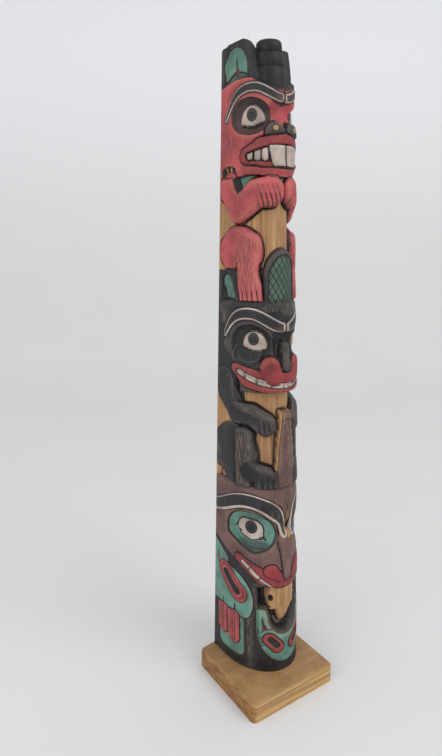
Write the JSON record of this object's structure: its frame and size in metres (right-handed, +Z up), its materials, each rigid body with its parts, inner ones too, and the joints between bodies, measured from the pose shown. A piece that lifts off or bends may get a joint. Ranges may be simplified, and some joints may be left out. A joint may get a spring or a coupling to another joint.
{
  "type": "totem pole",
  "caption": "Tall carved and painted wooden pole with stacked animal figures and a flat back, standing on a plain square block.",
  "frame": {"origin": "middle of the block's underside", "axes": "+Z up along the pole, -Y towards the carved front, +Y towards the flat back"},
  "size_m": [0.126, 0.12, 0.7474],
  "materials": {
    "bare_wood": "smooth bare wood, thin oil finish",
    "painted_wood": "matte hand paint in red, black, blue-green, off-white and brown, worn to the wood in places"
  },
  "bodies": {
    "root": {"base_block": "bare_wood", "carved_pole": "painted_wood"}
  },
  "joints": []
}
